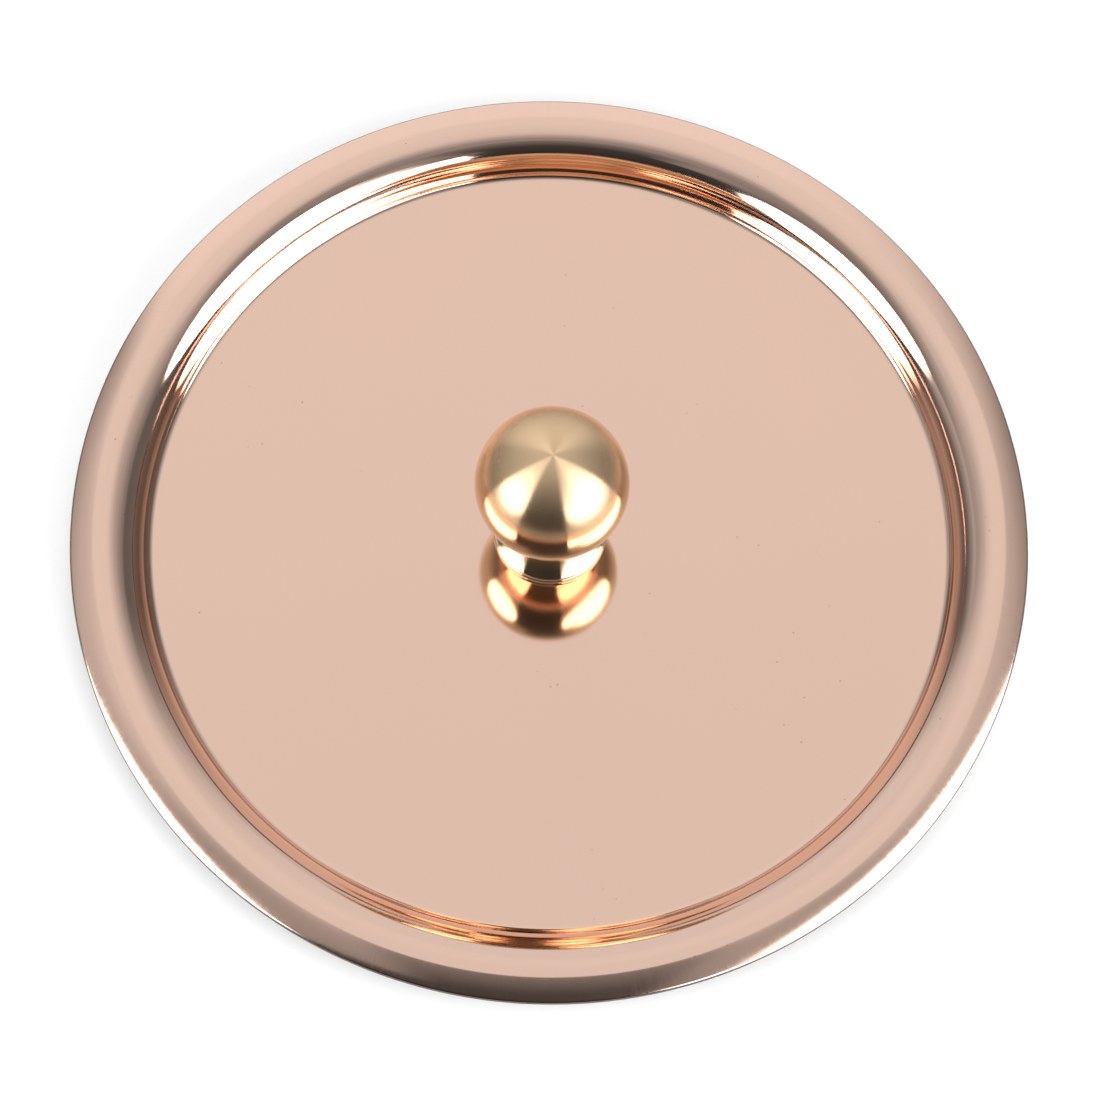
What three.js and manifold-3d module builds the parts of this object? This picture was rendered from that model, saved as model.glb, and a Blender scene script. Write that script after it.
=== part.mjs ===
// Copper kettle lid with a brass ball knob, in millimetres, +Z up.
// The frame stands on the face of the screw head, with the lid's axis on Z.
import * as THREE from 'three';
import { mergeVertices } from 'three/addons/utils/BufferGeometryUtils.js';
import Module from 'manifold-3d';

const wasm = await Module();
wasm.setup();

// driving dimensions of the sheet
const rimRadius = 103;
const discRadius = 86.1;
const crestHeight = 9.05;
const crestLand = 0.8;
const wallSlope = THREE.MathUtils.degToRad(77);
const flangeStart = THREE.MathUtils.degToRad(9);
const flangeEnd = THREE.MathUtils.degToRad(20);
const cornerRadius = 1.9;
const shoulderRadius = 8.8;
const browRadius = 4;
const edgeRadius = 0.7;
const copperThickness = 1;
const liningThickness = 0.2;
const sheetThickness = copperThickness + liningThickness;
const screwHole = 2.75;

// driving dimensions of the knob
const ballRadius = 16;
const ballHeight = 28.5;
const footRadius = 12.4;
const lipRadius = 12;
const lipHeight = 1.6;
const lipRound = 0.4;
const neckRadius = 7.4;
const coveRadius = 25;
const coveSteep = THREE.MathUtils.degToRad(49);
const coveShallow = THREE.MathUtils.degToRad(38);
const neckBend = 6;
const underBallBend = 2;
const boreRadius = 2.6;
const boreDepth = 12;
const boreTip = 1.2;

// driving dimensions of the M5 fixing stack
const shankRadius = 2.45;
const shankLength = 12;
const shankChamfer = 0.5;
const headRadius = 4.75;
const headHeight = 3.7;
const headDome = 1.3;
const headFaceRadius = 2.945;
const headBendRadius = 4.18;
const headBendHeight = 0.585;
const recessSpan = 5.2;
const recessSlot = 1.2;
const recessDepth = 2.2;
const springWasherHeight = 1.2;
const springWasherOuter = 4.6;
const springWasherSplit = 0.8;
const springWasherLean = THREE.MathUtils.degToRad(25);
const splitOverrun = 0.4;
const flatWasherHeight = 1;
const flatWasherOuter = 5;
const washerHole = 2.65;

// heights of the stack above the ground plane
const springWasherZ = headHeight;
const flatWasherZ = springWasherZ + springWasherHeight;
const liningZ = flatWasherZ + flatWasherHeight;
const discZ = liningZ + sheetThickness;

// steps round each turned piece
const sheetSteps = 64;
const knobSteps = 40;
const smallSteps = 32;

function finish(color, roughness, metalness = 1) {
  return new THREE.MeshStandardMaterial({ color, roughness, metalness });
}

function point(radius, height) {
  return new THREE.Vector2(radius, height);
}

// points on an arc, both ends included; angles in radians from the outward radius
function arc(centre, radius, from, to, steps) {
  const points = [];
  for (let i = 0; i <= steps; i += 1) {
    const angle = from + ((to - from) * i) / steps;
    points.push(point(centre.x + radius * Math.cos(angle), centre.y + radius * Math.sin(angle)));
  }
  return points;
}

// turns a profile of (radius, height) round the Z axis
function turned(profile, steps) {
  return new THREE.LatheGeometry(profile, steps).rotateX(Math.PI / 2);
}

function closedRing(profile, steps) {
  return turned([...profile, profile[0]], steps);
}

function toSolid(geometry) {
  const bare = geometry.clone();
  bare.deleteAttribute('normal');
  bare.deleteAttribute('uv');
  const merged = mergeVertices(bare);
  const vertProperties = new Float32Array(merged.attributes.position.array);
  const triVerts = new Uint32Array(merged.index.array);
  return new wasm.Manifold(new wasm.Mesh({ numProp: 3, vertProperties, triVerts }));
}

function toGeometry(solid) {
  const mesh = solid.getMesh();
  const geometry = new THREE.BufferGeometry();
  geometry.setAttribute('position', new THREE.BufferAttribute(new Float32Array(mesh.vertProperties), 3));
  geometry.setIndex(new THREE.BufferAttribute(new Uint32Array(mesh.triVerts), 1));
  return geometry;
}

// centres of the sheet's bends; the wall is tangent to the corner and to the shoulder
const cornerCentre = point(discRadius, discZ + cornerRadius);
const cornerTop = cornerCentre.y - cornerRadius * Math.cos(wallSlope);
const shoulderHeight = discZ + crestHeight - shoulderRadius;
const shoulderFoot = shoulderHeight + shoulderRadius * Math.cos(wallSlope);
const wallRun = (shoulderFoot - cornerTop) / Math.tan(wallSlope);
const crestInner = discRadius + (cornerRadius + shoulderRadius) * Math.sin(wallSlope) + wallRun;
const shoulderCentre = point(crestInner, shoulderHeight);
const browCentre = point(crestInner + crestLand, discZ + crestHeight - browRadius);

// the flange is one wide arc from the brow's end to the rounded edge
const edgeCentreRadius = rimRadius - edgeRadius;
const flangeInner = browCentre.x + browRadius * Math.sin(flangeStart);
const flangeOuter = edgeCentreRadius + edgeRadius * Math.sin(flangeEnd);
const flangeRadius = (flangeOuter - flangeInner) / (Math.sin(flangeEnd) - Math.sin(flangeStart));
const flangeCentre = point(
  flangeInner - flangeRadius * Math.sin(flangeStart),
  browCentre.y + (browRadius - flangeRadius) * Math.cos(flangeStart),
);

// the pressed sheet's surface at a depth under its upper face, from the hole out to the flange's end
function sheetSkin(depth) {
  const up = Math.PI / 2;
  const corner = arc(cornerCentre, cornerRadius + depth, -up, wallSlope - up, 3);
  const shoulder = arc(shoulderCentre, shoulderRadius - depth, up + wallSlope, up, 7);
  const brow = arc(browCentre, browRadius - depth, up, up - flangeStart, 1);
  const flange = arc(flangeCentre, flangeRadius - depth, up - flangeStart, up - flangeEnd, 3);
  return [point(screwHole, discZ - depth), ...corner, ...shoulder, ...brow, ...flange.slice(1)];
}

// the copper's rounded outer edge, from the flange face down to the lining
function copperEdge() {
  const tilt = Math.PI / 2 - flangeEnd;
  const centreHeight = flangeCentre.y + (flangeRadius - edgeRadius) * Math.cos(flangeEnd);
  return arc(point(edgeCentreRadius, centreHeight), edgeRadius, tilt, 0, 3).slice(1);
}

// the flange's lower faces run on to the rim at the slope of the flange's end
function liningEdge(depth) {
  const end = flangeCentre.x + (flangeRadius - depth) * Math.sin(flangeEnd);
  const height = flangeCentre.y + (flangeRadius - depth) * Math.cos(flangeEnd);
  return point(rimRadius, height - (rimRadius - end) * Math.tan(flangeEnd));
}

function makeCopperCover() {
  const upper = [...sheetSkin(0), ...copperEdge()];
  const lower = [...sheetSkin(copperThickness), liningEdge(copperThickness)];
  return closedRing([...lower, ...upper.reverse()], sheetSteps);
}

function makeSteelLining() {
  const upper = [...sheetSkin(copperThickness), liningEdge(copperThickness)];
  const lower = [...sheetSkin(sheetThickness), liningEdge(sheetThickness)];
  return closedRing([...lower, ...upper.reverse()], sheetSteps);
}

// the foot's cove runs from the lip up to the neck in a wide arc and then a tight one
function knobCove() {
  const wideCentre = point(
    lipRadius + coveRadius * Math.cos(coveSteep),
    discZ + lipHeight + coveRadius * Math.sin(coveSteep),
  );
  const wide = arc(wideCentre, coveRadius, Math.PI + coveSteep, Math.PI + coveShallow, 3);
  const top = wide[wide.length - 1];
  const tightCentre = point(neckRadius + neckBend, top.y + neckBend * Math.sin(coveShallow));
  const tight = arc(tightCentre, neckBend, Math.PI + coveShallow, Math.PI, 3);
  return [...wide, ...tight.slice(1)];
}

// a small concave bend leads from the neck into the ball, tangent to both
function knobBall() {
  const reach = ballRadius + underBallBend;
  const bendCentreRadius = neckRadius + underBallBend;
  const swing = Math.asin(bendCentreRadius / reach);
  const bendCentre = point(bendCentreRadius, discZ + ballHeight - reach * Math.cos(swing));
  const under = arc(bendCentre, underBallBend, Math.PI, Math.PI / 2 + swing, 2);
  const ball = arc(point(0, discZ + ballHeight), ballRadius, swing - Math.PI / 2, Math.PI / 2, 13);
  ball[ball.length - 1].x = 0;
  return [...under, ...ball.slice(1)];
}

function makeBallKnob() {
  const bore = [
    point(0, discZ + boreDepth + boreTip),
    point(boreRadius, discZ + boreDepth),
    point(boreRadius, discZ),
  ];
  const lipCentre = point(footRadius - lipRound, discZ + lipHeight - lipRound);
  const foot = [point(footRadius, discZ), ...arc(lipCentre, lipRound, 0, Math.PI / 2, 2).slice(0, 2)];
  return turned([...bore, ...foot, ...knobCove(), ...knobBall()], knobSteps);
}

// pan head screw, its head down, with a cross recess for the driver
function makeKnobScrew() {
  const dome = [
    point(0, 0),
    point(headFaceRadius, 0),
    point(headBendRadius, headBendHeight),
    point(headRadius, headDome),
    point(headRadius, headHeight),
  ];
  const shankTop = headHeight + shankLength;
  const shank = [
    point(shankRadius, headHeight),
    point(shankRadius, shankTop - shankChamfer),
    point(shankRadius - shankChamfer, shankTop),
    point(0, shankTop),
  ];
  let screw = toSolid(turned([...dome, ...shank], smallSteps));
  for (const turn of [0, Math.PI / 2]) {
    const slot = new THREE.BoxGeometry(recessSpan, recessSlot, 2 * recessDepth).rotateZ(turn);
    screw = screw.subtract(toSolid(slot));
  }
  return toGeometry(screw);
}

function makeWasher(outer, bottom, height) {
  const section = [
    point(washerHole, bottom),
    point(outer, bottom),
    point(outer, bottom + height),
    point(washerHole, bottom + height),
  ];
  return closedRing(section, smallSteps);
}

// the spring washer is a ring with one slanting split, pressed flat under the head
function makeSpringWasher() {
  const ring = toSolid(makeWasher(springWasherOuter, springWasherZ, springWasherHeight));
  const split = new THREE.BoxGeometry(springWasherOuter, springWasherSplit, 3 * springWasherHeight);
  split.rotateX(springWasherLean);
  const splitMiddle = washerHole - splitOverrun + springWasherOuter / 2;
  split.translate(splitMiddle, 0, springWasherZ + springWasherHeight / 2);
  return toGeometry(ring.subtract(toSolid(split)));
}

function addPart(group, name, geometry, material) {
  const mesh = new THREE.Mesh(geometry, material);
  mesh.name = name;
  group.add(mesh);
}

const lid = new THREE.Group();
addPart(lid, 'copper_cover', makeCopperCover(), finish(0xd9ab94, 0.14));
addPart(lid, 'steel_lining', makeSteelLining(), finish(0xb9b8b4, 0.3));
addPart(lid, 'ball_knob', makeBallKnob(), finish(0xd0b07c, 0.16));
addPart(lid, 'flat_washer', makeWasher(flatWasherOuter, flatWasherZ, flatWasherHeight), finish(0xb6b7b8, 0.35));
addPart(lid, 'spring_washer', makeSpringWasher(), finish(0xa9abad, 0.4));
addPart(lid, 'knob_screw', makeKnobScrew(), finish(0xb2b4b6, 0.3));

export default lid;
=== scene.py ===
# Copper kettle lid with a turned brass ball knob, seen from the steep front view of a tabletop studio
import math
import bpy
import bmesh
from mathutils import Matrix, Vector


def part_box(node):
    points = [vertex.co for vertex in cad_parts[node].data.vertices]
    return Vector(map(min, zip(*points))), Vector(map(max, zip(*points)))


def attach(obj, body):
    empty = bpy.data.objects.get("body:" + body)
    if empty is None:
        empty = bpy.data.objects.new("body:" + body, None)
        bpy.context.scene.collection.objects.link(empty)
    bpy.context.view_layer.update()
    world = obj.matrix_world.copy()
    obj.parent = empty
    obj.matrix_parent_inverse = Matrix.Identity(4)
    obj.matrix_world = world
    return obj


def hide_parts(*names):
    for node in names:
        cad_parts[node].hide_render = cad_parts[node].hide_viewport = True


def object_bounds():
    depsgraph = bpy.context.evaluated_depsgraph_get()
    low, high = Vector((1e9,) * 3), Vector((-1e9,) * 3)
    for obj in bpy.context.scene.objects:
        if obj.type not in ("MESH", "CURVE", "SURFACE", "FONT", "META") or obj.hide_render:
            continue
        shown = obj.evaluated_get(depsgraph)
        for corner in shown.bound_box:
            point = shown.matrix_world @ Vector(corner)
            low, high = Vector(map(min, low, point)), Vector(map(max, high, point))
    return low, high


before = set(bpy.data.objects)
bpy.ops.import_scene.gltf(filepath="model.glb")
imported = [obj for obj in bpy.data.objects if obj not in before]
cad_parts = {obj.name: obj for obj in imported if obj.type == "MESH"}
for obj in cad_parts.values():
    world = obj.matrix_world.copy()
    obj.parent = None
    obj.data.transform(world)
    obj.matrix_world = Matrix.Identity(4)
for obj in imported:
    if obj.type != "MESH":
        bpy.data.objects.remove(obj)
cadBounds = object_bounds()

mm = 0.001
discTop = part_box("ball_knob")[0].z  # the knob's foot stands on the disc
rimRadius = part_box("copper_cover")[1].x
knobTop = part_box("ball_knob")[1].z
floorHeight = cadBounds[0][2]
print("frame loaded, lid", round(2 * rimRadius / mm), "mm across")


# turning tools

def arcPoints(centre, radius, start, end, steps):
    # (radius, height) points on an arc, angles in degrees from the outward direction
    points = []
    for i in range(steps + 1):
        angle = math.radians(start + (end - start) * i / steps)
        points.append((centre[0] + radius * math.cos(angle), centre[1] + radius * math.sin(angle)))
    return points


def subdivided(start, end, steps):
    # points between two places, without the first one
    return [(start[0] + (end[0] - start[0]) * i / steps, start[1] + (end[1] - start[1]) * i / steps)
            for i in range(1, steps + 1)]


def turnedPiece(name, profile, steps, closed=False):
    # turns a (radius, height) profile round the lid's axis; a closed profile joins its own start
    mesh = bmesh.new()
    rings = []
    for radius, height in profile:
        if radius < 1e-7:
            rings.append([mesh.verts.new((0, 0, height))])
            continue
        ring = []
        for i in range(steps):
            angle = 2 * math.pi * i / steps
            ring.append(mesh.verts.new((radius * math.cos(angle), radius * math.sin(angle), height)))
        rings.append(ring)
    pairs = list(zip(rings, rings[1:]))
    if closed:
        pairs.append((rings[-1], rings[0]))
    for low, high in pairs:
        for i in range(steps):
            j = (i + 1) % steps
            if len(low) == 1:
                mesh.faces.new((low[0], high[j], high[i]))
            elif len(high) == 1:
                mesh.faces.new((low[i], low[j], high[0]))
            else:
                mesh.faces.new((low[i], low[j], high[j], high[i]))
    bmesh.ops.recalc_face_normals(mesh, faces=mesh.faces)
    return meshObject(name, mesh)


def meshObject(name, mesh, smooth=True):
    data = bpy.data.meshes.new(name)
    mesh.to_mesh(data)
    mesh.free()
    for face in data.polygons:
        face.use_smooth = smooth
    piece = bpy.data.objects.new(name, data)
    bpy.context.scene.collection.objects.link(piece)
    return piece


def seat(piece, node, material):
    # the finer piece stands for its CAD node and rides with the lid
    piece.data.materials.append(material)
    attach(piece, "root")
    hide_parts(node)
    print("made", piece.name)


# shader tools

def addNode(tree, kind, **values):
    node = tree.nodes.new(kind)
    for key, value in values.items():
        setattr(node, key, value)
    return node


def feed(tree, source, target):
    if isinstance(source, (int, float, tuple)):
        target.default_value = source
    else:
        tree.links.new(source, target)


def maths(tree, operation, first, second=0.0):
    node = addNode(tree, "ShaderNodeMath", operation=operation)
    for socket, value in zip(node.inputs, (first, second)):
        feed(tree, value, socket)
    return node.outputs[0]


def mapRange(tree, value, low, high, newLow=0.0, newHigh=1.0, smooth=True):
    node = addNode(tree, "ShaderNodeMapRange", interpolation_type="SMOOTHSTEP" if smooth else "LINEAR")
    for socket, part in zip(node.inputs, (value, low, high, newLow, newHigh)):
        feed(tree, part, socket)
    return node.outputs[0]


def mixColour(tree, amount, first, second):
    node = addNode(tree, "ShaderNodeMix", data_type="RGBA")
    feed(tree, amount, node.inputs[0])
    feed(tree, first, node.inputs[6])
    feed(tree, second, node.inputs[7])
    return node.outputs[2]


def noise(tree, vector, scale, detail=2.0, roughness=0.5):
    node = addNode(tree, "ShaderNodeTexNoise")
    feed(tree, vector, node.inputs["Vector"])
    node.inputs["Scale"].default_value = scale
    node.inputs["Detail"].default_value = detail
    node.inputs["Roughness"].default_value = roughness
    return node.outputs[0]


def combine(tree, x, y, z):
    node = addNode(tree, "ShaderNodeCombineXYZ")
    for socket, value in zip(node.inputs, (x, y, z)):
        feed(tree, value, socket)
    return node.outputs[0]


def newGroup(name, inputs, outputs):
    # inputs and outputs are (name, kind, value) and (name, kind)
    group = bpy.data.node_groups.new(name, "ShaderNodeTree")
    for label, kind, value in inputs:
        socket = group.interface.new_socket(name=label, in_out="INPUT", socket_type=kind)
        socket.default_value = value
    for label, kind in outputs:
        group.interface.new_socket(name=label, in_out="OUTPUT", socket_type=kind)
    return group, addNode(group, "NodeGroupInput"), addNode(group, "NodeGroupOutput")


def placeGroup(tree, group, **values):
    node = addNode(tree, "ShaderNodeGroup", node_tree=group)
    for label, value in values.items():
        feed(tree, value, node.inputs[label])
    return node


def newMaterial(name):
    material = bpy.data.materials.new(name)
    material.use_nodes = True
    tree = material.node_tree
    return material, tree, tree.nodes["Principled BSDF"]


# surface effects shared by the metals

def buildTurnedFrame():
    # distance from the axis, run along the section, direction from the axis and height
    group, inside, outside = newGroup("turnedFrame", [], [
        ("Across", "NodeSocketFloat"), ("Run", "NodeSocketFloat"),
        ("East", "NodeSocketFloat"), ("North", "NodeSocketFloat"), ("Height", "NodeSocketFloat")])
    place = addNode(group, "ShaderNodeTexCoord").outputs["Object"]
    split = addNode(group, "ShaderNodeSeparateXYZ")
    feed(group, place, split.inputs[0])
    x, y, z = split.outputs
    square = maths(group, "ADD", maths(group, "MULTIPLY", x, x), maths(group, "MULTIPLY", y, y))
    across = maths(group, "SQRT", maths(group, "ADD", square, 1e-12))
    feed(group, across, outside.inputs["Across"])
    feed(group, maths(group, "ADD", across, z), outside.inputs["Run"])
    feed(group, maths(group, "DIVIDE", x, across), outside.inputs["East"])
    feed(group, maths(group, "DIVIDE", y, across), outside.inputs["North"])
    feed(group, z, outside.inputs["Height"])
    return group


def buildTurningLines(turnedFrame):
    # fine lines round the piece, left by the tool and the polishing mop
    group, inside, outside = newGroup("turningLines", [
        ("Lines per Metre", "NodeSocketFloat", 4000.0), ("Drift", "NodeSocketFloat", 1.5)],
        [("Lines", "NodeSocketFloat")])
    place = placeGroup(group, turnedFrame)
    drift = inside.outputs["Drift"]
    spread = maths(group, "MULTIPLY", place.outputs["Run"], inside.outputs["Lines per Metre"])
    vector = combine(group, maths(group, "MULTIPLY", place.outputs["East"], drift),
                     maths(group, "MULTIPLY", place.outputs["North"], drift), spread)
    feed(group, noise(group, vector, 1.0, 4.0, 0.6), outside.inputs["Lines"])
    return group


def buildSpokeMarks(turnedFrame):
    # short strokes across the rim, from wiping and hand polishing
    group, inside, outside = newGroup("spokeMarks", [
        ("Strokes", "NodeSocketFloat", 330.0), ("Stroke Length", "NodeSocketFloat", 160.0)],
        [("Marks", "NodeSocketFloat")])
    place = placeGroup(group, turnedFrame)
    strokes = inside.outputs["Strokes"]
    vector = combine(group, maths(group, "MULTIPLY", place.outputs["East"], strokes),
                     maths(group, "MULTIPLY", place.outputs["North"], strokes),
                     maths(group, "MULTIPLY", place.outputs["Across"], inside.outputs["Stroke Length"]))
    feed(group, noise(group, vector, 1.0, 5.0, 0.62), outside.inputs["Marks"])
    return group


def buildHandling():
    # soft clouds of tarnish, hairline wipe marks and a few pits of dust
    group, inside, outside = newGroup("handling", [
        ("Cloud Size", "NodeSocketFloat", 26.0), ("Wipe Density", "NodeSocketFloat", 1300.0),
        ("Pit Density", "NodeSocketFloat", 230.0)],
        [("Clouds", "NodeSocketFloat"), ("Wipes", "NodeSocketFloat"), ("Pits", "NodeSocketFloat")])
    place = addNode(group, "ShaderNodeTexCoord").outputs["Object"]
    clouds = addNode(group, "ShaderNodeTexNoise")
    feed(group, place, clouds.inputs["Vector"])
    feed(group, inside.outputs["Cloud Size"], clouds.inputs["Scale"])
    clouds.inputs["Detail"].default_value = 4
    feed(group, clouds.outputs[0], outside.inputs["Clouds"])

    turn = addNode(group, "ShaderNodeMapping")
    turn.inputs["Rotation"].default_value = (0, 0, math.radians(-9))
    turn.inputs["Scale"].default_value = (0.045, 1.0, 0.3)
    feed(group, place, turn.inputs["Vector"])
    wipes = addNode(group, "ShaderNodeTexNoise")
    feed(group, turn.outputs[0], wipes.inputs["Vector"])
    feed(group, inside.outputs["Wipe Density"], wipes.inputs["Scale"])
    wipes.inputs["Detail"].default_value = 3
    feed(group, wipes.outputs[0], outside.inputs["Wipes"])

    cells = addNode(group, "ShaderNodeTexVoronoi")
    feed(group, place, cells.inputs["Vector"])
    feed(group, inside.outputs["Pit Density"], cells.inputs["Scale"])
    near = mapRange(group, cells.outputs["Distance"], 0.03, 0.07, 1.0, 0.0)
    rare = mapRange(group, clouds.outputs[0], 0.52, 0.6)
    feed(group, maths(group, "MULTIPLY", near, rare), outside.inputs["Pits"])
    return group


turnedFrame = buildTurnedFrame()
turningLines = buildTurningLines(turnedFrame)
spokeMarks = buildSpokeMarks(turnedFrame)
handling = buildHandling()
print("surface effects ready")


def tarnishOf(tree, marks):
    return mapRange(tree, marks.outputs["Clouds"], 0.35, 0.7)


def finishSurface(tree, shader, height, reach):
    # reach is the depth of the relief in metres
    bump = addNode(tree, "ShaderNodeBump")
    bump.inputs["Strength"].default_value = 1.0
    bump.inputs["Distance"].default_value = reach
    feed(tree, height, bump.inputs["Height"])
    feed(tree, bump.outputs[0], shader.inputs["Normal"])


def shineAlongTurning(tree, shader, amount):
    # stretches the highlights across the turned lines, as a lathe's finish does
    shader.inputs["Anisotropic"].default_value = amount
    shader.inputs["Anisotropic Rotation"].default_value = 0.25
    tangent = addNode(tree, "ShaderNodeTangent", direction_type="RADIAL", axis="Z")
    feed(tree, tangent.outputs[0], shader.inputs["Tangent"])


# the pressed and polished copper sheet; sizes in millimetres, slopes in degrees, relief in metres
copperSheet = {
    "discRadius": 86.1, "crestHeight": 9.05, "crestLand": 0.8, "wallSlope": 77,
    "flangeStart": 9, "flangeEnd": 20, "cornerRadius": 1.9, "shoulderRadius": 8.8,
    "browRadius": 4, "edgeRadius": 0.7, "thickness": 1.0, "holeRadius": 2.75, "steps": 480,
    "colour": (0.95, 0.655, 0.525, 1), "worn": (0.86, 0.63, 0.54, 1),
    # the wall's and the edge's colours are painted shade: darker, greyer copper where the metal mirrors the
    # dark room
    "wallShadeColour": (0.62, 0.45, 0.38, 1), "edgeShadeColour": (0.6, 0.5, 0.46, 1),
    "pitColour": (0.35, 0.22, 0.17, 1), "roughness": 0.055, "flangeRoughness": 0.1, "relief": 1e-6,
    # where the wall, the flange and the edge begin and end, by radius
    "wallMask": (86.2, 87.4, 93, 95.5), "flangeMask": (96.6, 98.2), "edgeMask": (102.3, 102.9),
    # how far the tarnish, streaks and pits, and the painted shade on the wall and the rim's edge, shift the
    # colour or the roughness
    "tarnish": 0.08, "wallPaintedShade": 0.5, "flangeTarnish": 0.3, "edgePaintedShade": 0.7, "pitTarnish": 0.5,
    "cloudRoughness": 0.02, "strokeRoughness": 0.06,
    # lines per metre of the polishing and of the wall's ripples
    "polishLines": 5200.0, "rippleLines": 620.0,
    # depths of the marks, as multiples of the relief
    "wipeDepth": 0.25, "discRings": 0.12, "wallRings": 1.2, "wallRipples": 14, "flangeStrokes": 3,
}


def sheetBends(sheet):
    # centres and radii of the bends; the wall is tangent to the corner and to the shoulder
    wall = math.radians(sheet["wallSlope"])
    start, end = math.radians(sheet["flangeStart"]), math.radians(sheet["flangeEnd"])
    cornerTop = sheet["cornerRadius"] * (1 - math.cos(wall))
    shoulderHeight = sheet["crestHeight"] - sheet["shoulderRadius"]
    wallRise = shoulderHeight + sheet["shoulderRadius"] * math.cos(wall) - cornerTop
    bendReach = (sheet["cornerRadius"] + sheet["shoulderRadius"]) * math.sin(wall)
    crestInner = sheet["discRadius"] + bendReach + wallRise / math.tan(wall)
    browHeight = sheet["crestHeight"] - sheet["browRadius"]
    brow = (crestInner + sheet["crestLand"], browHeight)
    flangeInner = brow[0] + sheet["browRadius"] * math.sin(start)
    flangeOuter = rimRadius / mm - sheet["edgeRadius"] * (1 - math.sin(end))
    flangeRadius = (flangeOuter - flangeInner) / (math.sin(end) - math.sin(start))
    flange = (flangeInner - flangeRadius * math.sin(start),
              browHeight + (sheet["browRadius"] - flangeRadius) * math.cos(start))
    return {
        "corner": (sheet["discRadius"], sheet["cornerRadius"]),
        "shoulder": (crestInner, shoulderHeight),
        "brow": brow,
        "flange": flange,
        "flangeRadius": flangeRadius,
    }


def sheetSkin(sheet, depth):
    # the pressed section at a depth under the upper face, from the hole out to the flange's end
    bends = sheetBends(sheet)
    wall, start, end = sheet["wallSlope"], sheet["flangeStart"], sheet["flangeEnd"]
    corner = arcPoints(bends["corner"], sheet["cornerRadius"] + depth, -90, wall - 90, 14)
    shoulder = arcPoints(bends["shoulder"], sheet["shoulderRadius"] - depth, 90 + wall, 90, 48)
    brow = arcPoints(bends["brow"], sheet["browRadius"] - depth, 90, 90 - start, 6)
    flange = arcPoints(bends["flange"], bends["flangeRadius"] - depth, 90 - start, 90 - end, 24)
    hole = (sheet["holeRadius"], -depth)
    return [hole, *subdivided(hole, corner[0], 20), *corner[1:], *subdivided(corner[-1], shoulder[0], 3),
            *shoulder[1:], *subdivided(shoulder[-1], brow[0], 2), *brow[1:], *flange[1:]]


def sheetEdge(sheet):
    # the rounded rim, from the flange's face round to its upright edge
    bends = sheetBends(sheet)
    radius = sheet["edgeRadius"]
    slope = math.radians(sheet["flangeEnd"])
    height = bends["flange"][1] + (bends["flangeRadius"] - radius) * math.cos(slope)
    return arcPoints((rimRadius / mm - radius, height), radius, 90 - sheet["flangeEnd"], 0, 10)[1:]


def rimPoint(sheet, depth):
    # the lower faces run on to the rim at the slope of the flange's end
    bends = sheetBends(sheet)
    slope = math.radians(sheet["flangeEnd"])
    reach = bends["flangeRadius"] - depth
    radius = bends["flange"][0] + reach * math.sin(slope)
    height = bends["flange"][1] + reach * math.cos(slope)
    rim = rimRadius / mm
    return (rim, height - (rim - radius) * math.tan(slope))


def inMetres(profile):
    return [(radius * mm, discTop + height * mm) for radius, height in profile]


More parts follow.
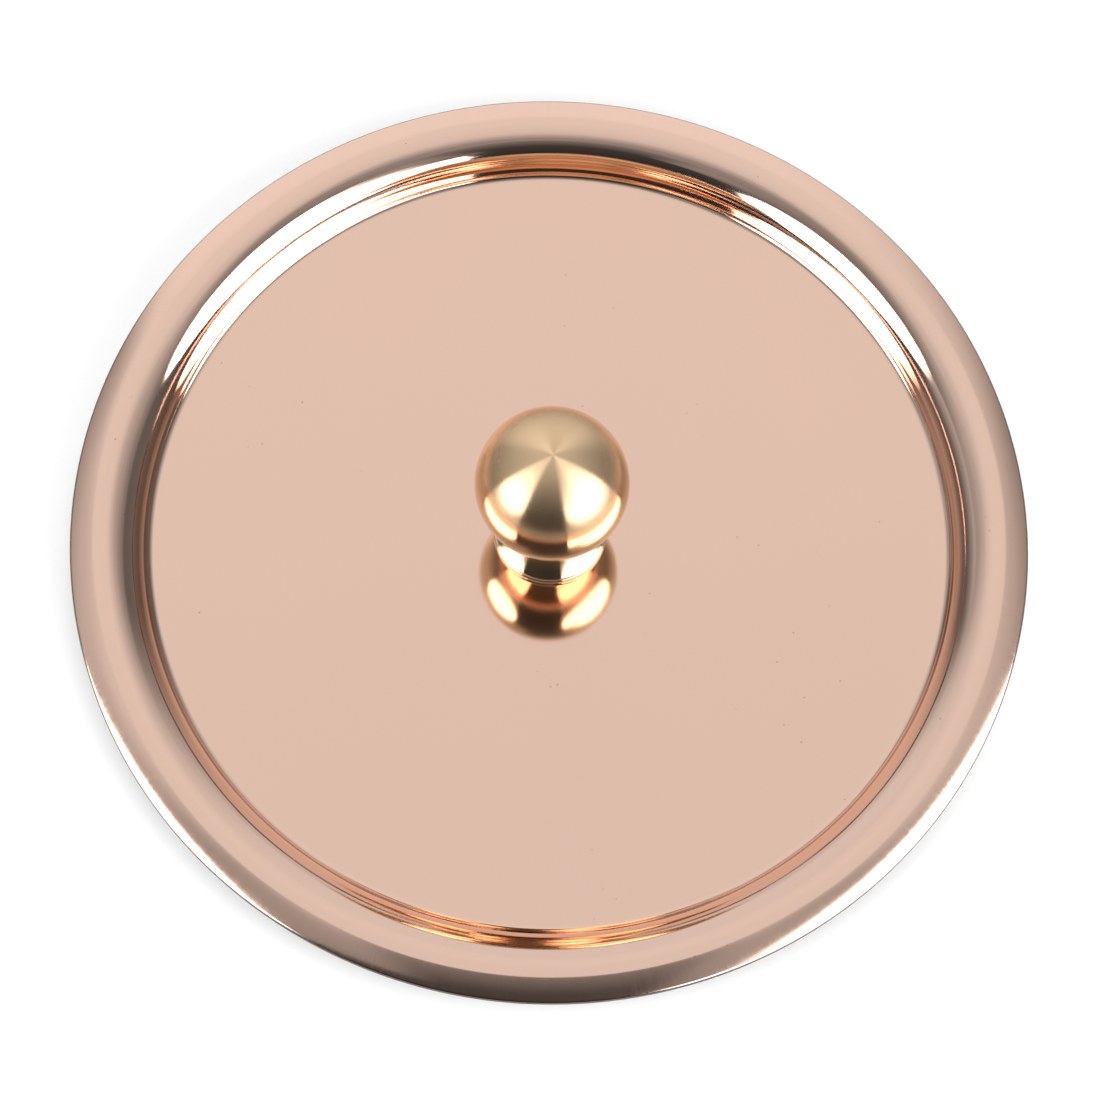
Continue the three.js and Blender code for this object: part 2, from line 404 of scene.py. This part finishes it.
def makeCopperMaterial(sheet):
    material, tree, shader = newMaterial("polishedCopper")
    place = placeGroup(tree, turnedFrame)
    marks = placeGroup(tree, handling)
    lines = placeGroup(tree, turningLines, **{"Lines per Metre": sheet["polishLines"], "Drift": 2.0})
    ripples = placeGroup(tree, turningLines, **{"Lines per Metre": sheet["rippleLines"], "Drift": 1.1})
    spokes = placeGroup(tree, spokeMarks)
    across = place.outputs["Across"]
    wallStart, wallFull, wallFade, wallEnd = [radius * mm for radius in sheet["wallMask"]]
    wallInside = mapRange(tree, across, wallStart, wallFull)
    wallOutside = mapRange(tree, across, wallFade, wallEnd, 1.0, 0.0)
    onWall = maths(tree, "MULTIPLY", wallInside, wallOutside)
    onFlange = mapRange(tree, across, *[radius * mm for radius in sheet["flangeMask"]])
    # the rim's rounded edge, which gets a painted shade of darker, greyer copper
    onEdge = mapRange(tree, across, *[radius * mm for radius in sheet["edgeMask"]])
    clouds = tarnishOf(tree, marks)
    strokes = mapRange(tree, spokes.outputs["Marks"], 0.3, 0.75)
    streaks = maths(tree, "MULTIPLY", strokes, onFlange)
    tone = sheet["colour"]
    # the wall and the rim's edge get painted shade; the clouds, flange streaks and dust pits are tarnish
    # and marks
    wearAndPaintedShade = [(clouds, "tarnish", "worn"), (onWall, "wallPaintedShade", "wallShadeColour"),
            (streaks, "flangeTarnish", "worn"), (onEdge, "edgePaintedShade", "edgeShadeColour"),
            (marks.outputs["Pits"], "pitTarnish", "pitColour")]
    for mask, amount, colour in wearAndPaintedShade:
        tone = mixColour(tree, maths(tree, "MULTIPLY", mask, sheet[amount]), tone, sheet[colour])
    feed(tree, tone, shader.inputs["Base Color"])
    shader.inputs["Metallic"].default_value = 1
    cloudRough = maths(tree, "MULTIPLY", clouds, sheet["cloudRoughness"])
    rough = maths(tree, "ADD", sheet["roughness"], cloudRough)
    strokeRough = maths(tree, "MULTIPLY", strokes, sheet["strokeRoughness"])
    flangeRough = maths(tree, "ADD", sheet["flangeRoughness"], strokeRough)
    rough = mapRange(tree, onFlange, 0.0, 1.0, rough, flangeRough, smooth=False)
    feed(tree, rough, shader.inputs["Roughness"])
    wipes = maths(tree, "MULTIPLY", marks.outputs["Wipes"], sheet["wipeDepth"])
    ringDepth = maths(tree, "ADD", sheet["discRings"], maths(tree, "MULTIPLY", onWall, sheet["wallRings"]))
    rings = maths(tree, "MULTIPLY", lines.outputs["Lines"], ringDepth)
    wallWaves = maths(tree, "MULTIPLY", onWall, sheet["wallRipples"])
    waves = maths(tree, "MULTIPLY", ripples.outputs["Lines"], wallWaves)
    spokeDepth = maths(tree, "MULTIPLY", onFlange, sheet["flangeStrokes"])
    radial = maths(tree, "MULTIPLY", spokes.outputs["Marks"], spokeDepth)
    height = maths(tree, "ADD", maths(tree, "ADD", wipes, rings), maths(tree, "ADD", waves, radial))
    finishSurface(tree, shader, height, sheet["relief"])
    return material


def makeCopperCover(sheet):
    lower = sheetSkin(sheet, sheet["thickness"])
    lower += subdivided(lower[-1], rimPoint(sheet, sheet["thickness"]), 3)
    upper = sheetSkin(sheet, 0) + sheetEdge(sheet)
    piece = turnedPiece("copper_sheet", inMetres(lower + upper[::-1]), sheet["steps"], closed=True)
    seat(piece, "copper_cover", makeCopperMaterial(sheet))


makeCopperCover(copperSheet)


# the thin steel ply bonded under the copper, in the same units
steelPly = {
    "thickness": 0.2, "colour": (0.6, 0.585, 0.56, 1), "worn": (0.5, 0.48, 0.45, 1), "tarnish": 0.25,
    "roughness": 0.26, "lineRoughness": 0.12, "spinLines": 2600.0, "spinShine": 0.6, "relief": 3e-6,
}


def makeLiningMaterial(ply):
    material, tree, shader = newMaterial("spunSteelLining")
    marks = placeGroup(tree, handling, **{"Cloud Size": 18.0})
    lines = placeGroup(tree, turningLines, **{"Lines per Metre": ply["spinLines"], "Drift": 1.0})
    clouds = tarnishOf(tree, marks)
    tone = mixColour(tree, maths(tree, "MULTIPLY", clouds, ply["tarnish"]), ply["colour"], ply["worn"])
    feed(tree, tone, shader.inputs["Base Color"])
    shader.inputs["Metallic"].default_value = 1
    shineAlongTurning(tree, shader, ply["spinShine"])
    lineRough = maths(tree, "MULTIPLY", lines.outputs["Lines"], ply["lineRoughness"])
    rough = maths(tree, "ADD", ply["roughness"], lineRough)
    feed(tree, rough, shader.inputs["Roughness"])
    finishSurface(tree, shader, lines.outputs["Lines"], ply["relief"])
    return material


def makeSteelLining(sheet, ply):
    total = sheet["thickness"] + ply["thickness"]
    lower = sheetSkin(sheet, total)
    lower += subdivided(lower[-1], rimPoint(sheet, total), 3)
    upper = sheetSkin(sheet, sheet["thickness"])
    upper += subdivided(upper[-1], rimPoint(sheet, sheet["thickness"]), 3)
    piece = turnedPiece("steel_ply", inMetres(lower + upper[::-1]), sheet["steps"], closed=True)
    seat(piece, "steel_lining", makeLiningMaterial(ply))


makeSteelLining(copperSheet, steelPly)


# the ball, neck and flared foot, turned from one brass bar, in the same units
ballKnob = {
    "ballRadius": 16, "ballHeight": 28.5, "footRadius": 12.4, "footBreak": 0.06,
    "lipRadius": 12, "lipHeight": 1.6, "lipRound": 0.4,
    "neckRadius": 7.4, "neckBend": 6, "underBallBend": 2,
    "coveRadius": 25, "coveSteep": 49, "coveShallow": 38,
    "boreRadius": 2.6, "boreDepth": 12, "boreTip": 1.2, "steps": 256,
    "colour": (0.93, 0.665, 0.415, 1), "worn": (0.84, 0.57, 0.34, 1), "tarnish": 0.2,
    "roughness": 0.1, "lineRoughness": 0.04, "turningLines": 5200.0, "turnedShine": 1.0, "relief": 2.5e-6,
    # rougher towards the pole, over these depths below the top
    "poleRoughness": 0.2, "poleFade": (11, 1),
}


def knobProfile(knob):
    lip = (knob["lipRadius"], knob["lipHeight"])
    steep, shallow = math.radians(knob["coveSteep"]), math.radians(knob["coveShallow"])
    cove, bendIn = knob["coveRadius"], knob["neckBend"]
    wideCentre = (lip[0] + cove * math.cos(steep), lip[1] + cove * math.sin(steep))
    wide = arcPoints(wideCentre, cove, 180 + knob["coveSteep"], 180 + knob["coveShallow"], 12)
    tightCentre = (knob["neckRadius"] + bendIn, wide[-1][1] + bendIn * math.sin(shallow))
    tight = arcPoints(tightCentre, bendIn, 180 + knob["coveShallow"], 180, 12)
    reach = knob["ballRadius"] + knob["underBallBend"]
    bendRadius = knob["neckRadius"] + knob["underBallBend"]
    swing = math.degrees(math.asin(bendRadius / reach))
    bend = (bendRadius, knob["ballHeight"] - reach * math.cos(math.radians(swing)))
    under = arcPoints(bend, knob["underBallBend"], 180, 90 + swing, 8)
    ball = arcPoints((0, knob["ballHeight"]), knob["ballRadius"], swing - 90, 90, 96)
    ball[-1] = (0, ball[-1][1])
    rounding = knob["lipRound"]
    edge = arcPoints((knob["footRadius"] - rounding, lip[1] - rounding), rounding, 0, 90, 8)
    footBreak = knob["footBreak"]
    foot = [(knob["footRadius"] - footBreak, 0), (knob["footRadius"], footBreak), *edge]
    boreRadius, boreDepth = knob["boreRadius"], knob["boreDepth"]
    bore = [(0, boreDepth + knob["boreTip"]), (boreRadius, boreDepth), (boreRadius, 0)]
    neck = subdivided(tight[-1], under[0], 4)
    return [*bore, *foot, *wide[1:], *tight[1:], *neck, *under[1:], *ball[1:]]


def makeBrassMaterial(knob):
    material, tree, shader = newMaterial("turnedBrass")
    place = placeGroup(tree, turnedFrame)
    marks = placeGroup(tree, handling, **{"Cloud Size": 90.0, "Wipe Density": 2600.0, "Pit Density": 900.0})
    lines = placeGroup(tree, turningLines, **{"Lines per Metre": knob["turningLines"], "Drift": 1.2})
    clouds = tarnishOf(tree, marks)
    tone = mixColour(tree, maths(tree, "MULTIPLY", clouds, knob["tarnish"]), knob["colour"], knob["worn"])
    feed(tree, tone, shader.inputs["Base Color"])
    shader.inputs["Metallic"].default_value = 1
    shineAlongTurning(tree, shader, knob["turnedShine"])
    fadeStart, fadeEnd = [knobTop - depth * mm for depth in knob["poleFade"]]
    nearPole = mapRange(tree, place.outputs["Height"], fadeStart, fadeEnd)
    poleRough = maths(tree, "MULTIPLY", nearPole, knob["poleRoughness"])
    lineRough = maths(tree, "MULTIPLY", lines.outputs["Lines"], knob["lineRoughness"])
    rough = maths(tree, "ADD", knob["roughness"], maths(tree, "ADD", poleRough, lineRough))
    feed(tree, rough, shader.inputs["Roughness"])
    finishSurface(tree, shader, lines.outputs["Lines"], knob["relief"])
    return material


def makeBallKnob(knob):
    piece = turnedPiece("brass_knob", inMetres(knobProfile(knob)), knob["steps"])
    seat(piece, "ball_knob", makeBrassMaterial(knob))


makeBallKnob(ballKnob)


# the M5 screw and its two washers under the lid, head down, in the same units; the spring
# washer's gap and lean are in degrees
fixing = {
    "headRadius": 4.75, "headHeight": 3.7, "headDome": 1.3, "faceRadius": 2.95, "shankRadius": 2.45,
    "shankLength": 12, "shankChamfer": 0.5, "headBreak": 0.1,
    # the cross recess: its arms, and the taper by (depth, share of the arms' size)
    "recessSpan": 5.2, "recessSlot": 1.2, "recessTaper": ((-0.4, 1), (1.21, 0.92), (2.2, 0.5)),
    "springHeight": 1.2, "springRadius": 4.6, "springGap": 10, "springLean": 6,
    "flatHeight": 1, "flatRadius": 5, "washerHole": 2.65, "bevel": 0.15, "steps": 128,
    "tarnish": 0.4, "cloudRoughness": 0.14, "latheLines": 9000.0,
    "colour": (0.58, 0.58, 0.59, 1), "worn": (0.42, 0.42, 0.42, 1), "roughness": 0.28, "relief": 4e-6,
}


def makeFastenerMaterial(fixing):
    material, tree, shader = newMaterial("plainSteel")
    marks = placeGroup(tree, handling, **{"Cloud Size": 160.0})
    lines = placeGroup(tree, turningLines, **{"Lines per Metre": fixing["latheLines"]})
    clouds = tarnishOf(tree, marks)
    tarnish = maths(tree, "MULTIPLY", clouds, fixing["tarnish"])
    tone = mixColour(tree, tarnish, fixing["colour"], fixing["worn"])
    feed(tree, tone, shader.inputs["Base Color"])
    shader.inputs["Metallic"].default_value = 1
    cloudRough = maths(tree, "MULTIPLY", clouds, fixing["cloudRoughness"])
    rough = maths(tree, "ADD", fixing["roughness"], cloudRough)
    feed(tree, rough, shader.inputs["Roughness"])
    finishSurface(tree, shader, lines.outputs["Lines"], fixing["relief"])
    return material


def standingOn(node, profile):
    # a profile in millimetres above the node's own foot
    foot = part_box(node)[0].z
    return [(radius * mm, foot + height * mm) for radius, height in profile]


def washerSection(fixing, outer, height):
    # a ring's section with its four corners broken, anticlockwise from the hole's foot
    inner, bevel = fixing["washerHole"], fixing["bevel"]
    foot = [(inner, bevel), (inner + bevel, 0), (outer - bevel, 0), (outer, bevel)]
    top = [(radius, height - rise) for radius, rise in foot]
    return foot + top[::-1]


def crossCutter(fixing):
    # a cross tapering to its tip, to be cut up into the screw's head
    mesh = bmesh.new()
    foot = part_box("knob_screw")[0].z
    for turn in (0, 90):
        rings = []
        for depth, scale in fixing["recessTaper"]:
            across = fixing["recessSlot"] / 2 * mm * scale
            along = fixing["recessSpan"] / 2 * mm * scale
            corners = [(-along, -across), (along, -across), (along, across), (-along, across)]
            turned = [Matrix.Rotation(math.radians(turn), 2) @ Vector(corner) for corner in corners]
            rings.append([mesh.verts.new((corner.x, corner.y, foot + depth * mm)) for corner in turned])
        for low, high in zip(rings, rings[1:]):
            for i in range(4):
                j = (i + 1) % 4
                mesh.faces.new((low[i], low[j], high[j], high[i]))
        mesh.faces.new(rings[0][::-1])
        mesh.faces.new(rings[-1])
    return meshObject("crossCutter", mesh, smooth=False)


def screwProfile(fixing):
    # the face, a quarter of an ellipse up to the cheek, the head's back and the shank
    head, height = fixing["headRadius"], fixing["headHeight"]
    face, dome = fixing["faceRadius"], fixing["headDome"]
    rounding = arcPoints((0, 1), 1, -90, 0, 10)
    cheek = [(face + (head - face) * across, dome * up) for across, up in rounding]
    shank, top = fixing["shankRadius"], height + fixing["shankLength"]
    chamfer, edge = fixing["shankChamfer"], fixing["headBreak"]
    back = [(head, height - edge), (head - edge, height), (shank, height)]
    return [(0, 0), *cheek, *back, (shank, top - chamfer), (shank - chamfer, top), (0, top)]


def makeScrew(fixing, material):
    profile = standingOn("knob_screw", screwProfile(fixing))
    piece = turnedPiece("pan_head_screw", profile, fixing["steps"])
    cutter = crossCutter(fixing)
    cut = piece.modifiers.new("recess", "BOOLEAN")
    cut.operation = "DIFFERENCE"
    cut.solver = "EXACT"
    cut.use_self = True
    cut.object = cutter
    bpy.context.view_layer.update()
    finished = piece.evaluated_get(bpy.context.evaluated_depsgraph_get())
    solid = bpy.data.meshes.new_from_object(finished)
    piece.modifiers.clear()
    piece.data = solid
    bpy.data.objects.remove(cutter)
    for polygon in solid.polygons:
        polygon.use_smooth = True
    solid.set_sharp_from_angle(angle=math.radians(32))
    seat(piece, "knob_screw", material)


def makeFlatWasher(fixing, material):
    section = washerSection(fixing, fixing["flatRadius"], fixing["flatHeight"])
    profile = standingOn("flat_washer", section)
    piece = turnedPiece("plain_washer", profile, fixing["steps"], closed=True)
    piece.data.set_sharp_from_angle(angle=math.radians(30))
    seat(piece, "flat_washer", material)


def makeSpringWasher(fixing, material):
    # swept most of the way round; both ends lean the same way, as a coil's cut does
    section = washerSection(fixing, fixing["springRadius"], fixing["springHeight"])
    section = standingOn("spring_washer", section)
    low, high = section[1][1], section[5][1]
    mesh = bmesh.new()
    rings = []
    for i in range(fixing["steps"] + 1):
        sweep = fixing["springGap"] + (360 - 2 * fixing["springGap"]) * i / fixing["steps"]
        ring = []
        for radius, height in section:
            lean = fixing["springLean"] * (0.5 - (height - low) / (high - low))
            angle = math.radians(sweep + lean)
            ring.append(mesh.verts.new((radius * math.cos(angle), radius * math.sin(angle), height)))
        rings.append(ring)
    count = len(section)
    for first, second in zip(rings, rings[1:]):
        for i in range(count):
            j = (i + 1) % count
            mesh.faces.new((first[i], first[j], second[j], second[i]))
    mesh.faces.new(rings[0][::-1])
    mesh.faces.new(rings[-1])
    bmesh.ops.recalc_face_normals(mesh, faces=mesh.faces)
    piece = meshObject("split_washer", mesh)
    piece.data.set_sharp_from_angle(angle=math.radians(30))
    seat(piece, "spring_washer", material)


plainSteel = makeFastenerMaterial(fixing)
makeScrew(fixing, plainSteel)
makeFlatWasher(fixing, plainSteel)
makeSpringWasher(fixing, plainSteel)


# the studio, in metres: a pale table in a white room, two softboxes, and dark flags in front,
# overhead and at one side, which only the metal mirrors
studio = {
    "tableRadius": 4.2, "tableColour": (0.9, 0.9, 0.9, 1), "tableSpeck": (0.84, 0.84, 0.84, 1),
    "tableInMetal": (0.22, 0.215, 0.21, 1), "tableGrain": 900.0, "tableGap": 0.0002,
    # a softbox stands at a turn in degrees to the right of the front
    "rightBox": {"turn": 57, "distance": 0.62, "width": 0.94, "low": 0.05, "high": 0.9, "radiance": 4.2},
    "leftBox": {"turn": -62, "distance": 0.62, "width": 0.6, "low": 0.07, "high": 0.74, "radiance": 4.2},
    "fill": {"height": 1.6, "width": 1.2, "power": 10},
    # a flag faces the front, leans back by its tilt and turns anticlockwise, in degrees
    "frontFlag": {"place": (-0.062, -0.3, 0.215), "tilt": 0, "turn": 0, "width": 0.36, "height": 0.43,
                  "shades": (0.02, 0.06), "softness": 0.08},
    "roofFlag": {"place": (0.01, -0.2275, 0.425), "tilt": 79, "turn": 0, "width": 0.3, "height": 0.21,
                 "shades": (0.05, 0.22), "softness": 0.2},
    "canopy": {"place": (0.04, -0.275, 0.437), "tilt": 81, "turn": 0, "width": 0.6, "height": 0.31,
               "shades": (0.2, 0.42), "softness": 0.25},
    "sideFlag": {"place": (-0.286, 0.09, 0.14), "tilt": 0, "turn": -108, "width": 0.3, "height": 0.28,
                 "shades": (0.12, 0.6), "softness": 0.25},
    # brightness by height in the room, (upward part of the direction, level)
    "behind": ((0, 0.72), (0.14, 0.78), (0.3, 0.9), (0.6, 0.9), (0.77, 0.84), (0.9, 0.8), (1, 0.77)),
    "left": ((0, 0.12), (0.2, 0.14), (0.36, 0.28), (0.5, 0.38),
             (0.62, 0.47), (0.75, 0.58), (0.88, 0.72), (1, 0.77)),
    "right": ((0, 0.18), (0.4, 0.16), (0.55, 0.3), (0.66, 0.4),
              (0.75, 0.5), (0.85, 0.6), (0.93, 0.74), (1, 0.78)),
    "ahead": ((0, 0.05), (0.55, 0.06), (0.68, 0.16), (0.8, 0.28),
              (0.88, 0.34), (0.93, 0.38), (0.97, 0.56), (1, 0.78)),
    # where one part of the room fades into the next, by the forward or rightward part of the direction
    "leftBlend": (-0.85, -0.42), "rightBlend": (-1.0, -0.55), "sideBlend": (-0.3, 0.3),
    "aheadBlend": (-0.25, 0.35),
    "roomInView": (0.93, 0.93, 0.93, 1),
    # slopes in degrees; distance and shifts in rim radii; lens in millimetres
    "camera": {"elevation": 70.68, "roll": 2.65, "distance": 4.491, "shiftUp": -0.0411, "lens": 69.2},
}


def makeTable(studio):
    mesh = bmesh.new()
    bmesh.ops.create_circle(mesh, cap_ends=True, radius=studio["tableRadius"], segments=96)
    table = meshObject("table", mesh, smooth=False)
    table.location.z = floorHeight - studio["tableGap"]
    material, tree, shader = newMaterial("paleTable")
    place = addNode(tree, "ShaderNodeTexCoord").outputs["Object"]
    grain = noise(tree, place, studio["tableGrain"], 2.0)
    tone = mixColour(tree, maths(tree, "MULTIPLY", grain, 0.5), studio["tableColour"], studio["tableSpeck"])
    # the metal mirrors a darker table than the camera sees
    mirrored = addNode(tree, "ShaderNodeLightPath").outputs["Is Glossy Ray"]
    feed(tree, mixColour(tree, mirrored, tone, studio["tableInMetal"]), shader.inputs["Base Color"])
    shader.inputs["Roughness"].default_value = 0.75
    shader.inputs["Specular IOR Level"].default_value = 0.2
    table.data.materials.append(material)


def makeSoftbox(name, box):
    # a soft ellipse of light that stands upright and faces the lid
    light = bpy.data.lights.new(name, "AREA")
    light.shape = "ELLIPSE"
    height = box["high"] - box["low"]
    light.size, light.size_y = box["width"], height
    area = math.pi / 4 * box["width"] * height
    light.energy = box["radiance"] * math.pi * area
    lamp = bpy.data.objects.new(name, light)
    turn = math.radians(box["turn"])
    side = Vector((math.sin(turn), -math.cos(turn), 0))
    lamp.location = side * box["distance"] + Vector((0, 0, (box["low"] + box["high"]) / 2))
    lamp.rotation_euler = side.to_track_quat("Z", "Y").to_euler()
    lamp.visible_camera = False
    bpy.context.scene.collection.objects.link(lamp)


def makeFill(fill):
    # an overhead light for the table alone, which the metal does not mirror
    light = bpy.data.lights.new("fill", "AREA")
    light.shape = "DISK"
    light.size = fill["width"]
    light.energy = fill["power"]
    lamp = bpy.data.objects.new("fill", light)
    lamp.location.z = fill["height"]
    lamp.visible_camera = False
    lamp.visible_glossy = False
    bpy.context.scene.collection.objects.link(lamp)


def makeFlag(name, flag):
    # a dark panel with soft sides and top, darker at its foot, that only the metal mirrors
    mesh = bmesh.new()
    half, rise = flag["width"] / 2, flag["height"] / 2
    corners = [(-half, 0, -rise), (half, 0, -rise), (half, 0, rise), (-half, 0, rise)]
    mesh.faces.new([mesh.verts.new(corner) for corner in corners])
    panel = meshObject(name, mesh, smooth=False)
    panel.location = flag["place"]
    panel.rotation_euler = (math.radians(-flag["tilt"]), 0, math.radians(flag["turn"]))
    material = bpy.data.materials.new(name)
    material.use_nodes = True
    tree = material.node_tree
    tree.nodes.clear()
    split = addNode(tree, "ShaderNodeSeparateXYZ")
    feed(tree, addNode(tree, "ShaderNodeTexCoord").outputs["Generated"], split.inputs[0])
    low, high = flag["shades"]
    across, up = split.outputs[0], split.outputs[2]
    glow = addNode(tree, "ShaderNodeEmission")
    feed(tree, mapRange(tree, up, 0.0, 1.0, low, high), glow.inputs["Color"])
    soft = flag["softness"]
    leftEdge = mapRange(tree, across, 0.0, soft)
    rightEdge = mapRange(tree, across, 1 - soft, 1.0, 1.0, 0.0)
    topEdge = mapRange(tree, up, 1 - soft, 1.0, 1.0, 0.0)
    cover = maths(tree, "MULTIPLY", maths(tree, "MULTIPLY", leftEdge, rightEdge), topEdge)
    fade = addNode(tree, "ShaderNodeMixShader")
    feed(tree, cover, fade.inputs[0])
    feed(tree, addNode(tree, "ShaderNodeBsdfTransparent").outputs[0], fade.inputs[1])
    feed(tree, glow.outputs[0], fade.inputs[2])
    output = addNode(tree, "ShaderNodeOutputMaterial")
    feed(tree, fade.outputs[0], output.inputs[0])
    panel.data.materials.append(material)
    for ray in ("camera", "diffuse", "shadow", "transmission", "volume_scatter"):
        setattr(panel, "visible_" + ray, False)


def rampOf(tree, value, stops):
    ramp = addNode(tree, "ShaderNodeValToRGB")
    ramp.color_ramp.interpolation = "EASE"
    while len(ramp.color_ramp.elements) < len(stops):
        ramp.color_ramp.elements.new(0.5)
    for element, (place, level) in zip(ramp.color_ramp.elements, stops):
        element.position = place
        element.color = (level, level, level, 1)
    feed(tree, value, ramp.inputs[0])
    return ramp.outputs[0]


def makeSurroundings(studio):
    # brightness by direction: a white ceiling and back wall, darker sides, gloom in front
    world = bpy.data.worlds.new("studio")
    world.use_nodes = True
    tree = world.node_tree
    tree.nodes.clear()
    split = addNode(tree, "ShaderNodeSeparateXYZ")
    feed(tree, addNode(tree, "ShaderNodeTexCoord").outputs["Generated"], split.inputs[0])
    x, y, z = split.outputs
    squares = maths(tree, "ADD", maths(tree, "MULTIPLY", x, x), maths(tree, "MULTIPLY", y, y))
    level = maths(tree, "SQRT", maths(tree, "ADD", squares, 1e-9))
    forward = maths(tree, "DIVIDE", maths(tree, "MULTIPLY", y, -1.0), level)
    rightward = maths(tree, "DIVIDE", x, level)
    zones = ("behind", "left", "right", "ahead")
    behind, left, right, ahead = [rampOf(tree, z, studio[zone]) for zone in zones]
    leftSide = mixColour(tree, mapRange(tree, forward, *studio["leftBlend"]), behind, left)
    rightSide = mixColour(tree, mapRange(tree, forward, *studio["rightBlend"]), behind, right)
    sides = mixColour(tree, mapRange(tree, rightward, *studio["sideBlend"]), leftSide, rightSide)
    light = mixColour(tree, mapRange(tree, forward, *studio["aheadBlend"]), sides, ahead)
    seen = addNode(tree, "ShaderNodeLightPath").outputs["Is Camera Ray"]
    shown = mixColour(tree, seen, light, studio["roomInView"])
    background = addNode(tree, "ShaderNodeBackground")
    feed(tree, shown, background.inputs["Color"])
    output = addNode(tree, "ShaderNodeOutputWorld")
    feed(tree, background.outputs[0], output.inputs[0])
    bpy.context.scene.world = world


def makeCamera(view):
    # a steep close view from the front, rolled a little
    elevation, roll = math.radians(view["elevation"]), math.radians(view["roll"])
    back = Vector((0, -math.cos(elevation), math.sin(elevation)))
    up = Vector((0, math.sin(elevation), math.cos(elevation)))
    right = Vector((1, 0, 0))
    camRight = right * math.cos(roll) + up * math.sin(roll)
    camUp = up * math.cos(roll) - right * math.sin(roll)
    offset = (back * view["distance"] + camUp * view["shiftUp"]) * rimRadius
    data = bpy.data.cameras.new("frontCamera")
    data.sensor_width = 36
    data.lens = view["lens"]
    data.clip_start = 0.01
    camera = bpy.data.objects.new("frontCamera", data)
    turned = Matrix((camRight, camUp, back)).transposed().to_4x4()
    camera.matrix_world = Matrix.Translation(offset + Vector((0, 0, discTop))) @ turned
    bpy.context.scene.collection.objects.link(camera)
    bpy.context.scene.camera = camera


makeTable(studio)
makeSoftbox("rightSoftbox", studio["rightBox"])
makeSoftbox("leftSoftbox", studio["leftBox"])
makeFill(studio["fill"])
for name in ("frontFlag", "roofFlag", "canopy", "sideFlag"):
    makeFlag(name, studio[name])
makeSurroundings(studio)
makeCamera(studio["camera"])
bpy.context.scene.view_settings.view_transform = "Standard"
print("studio ready")
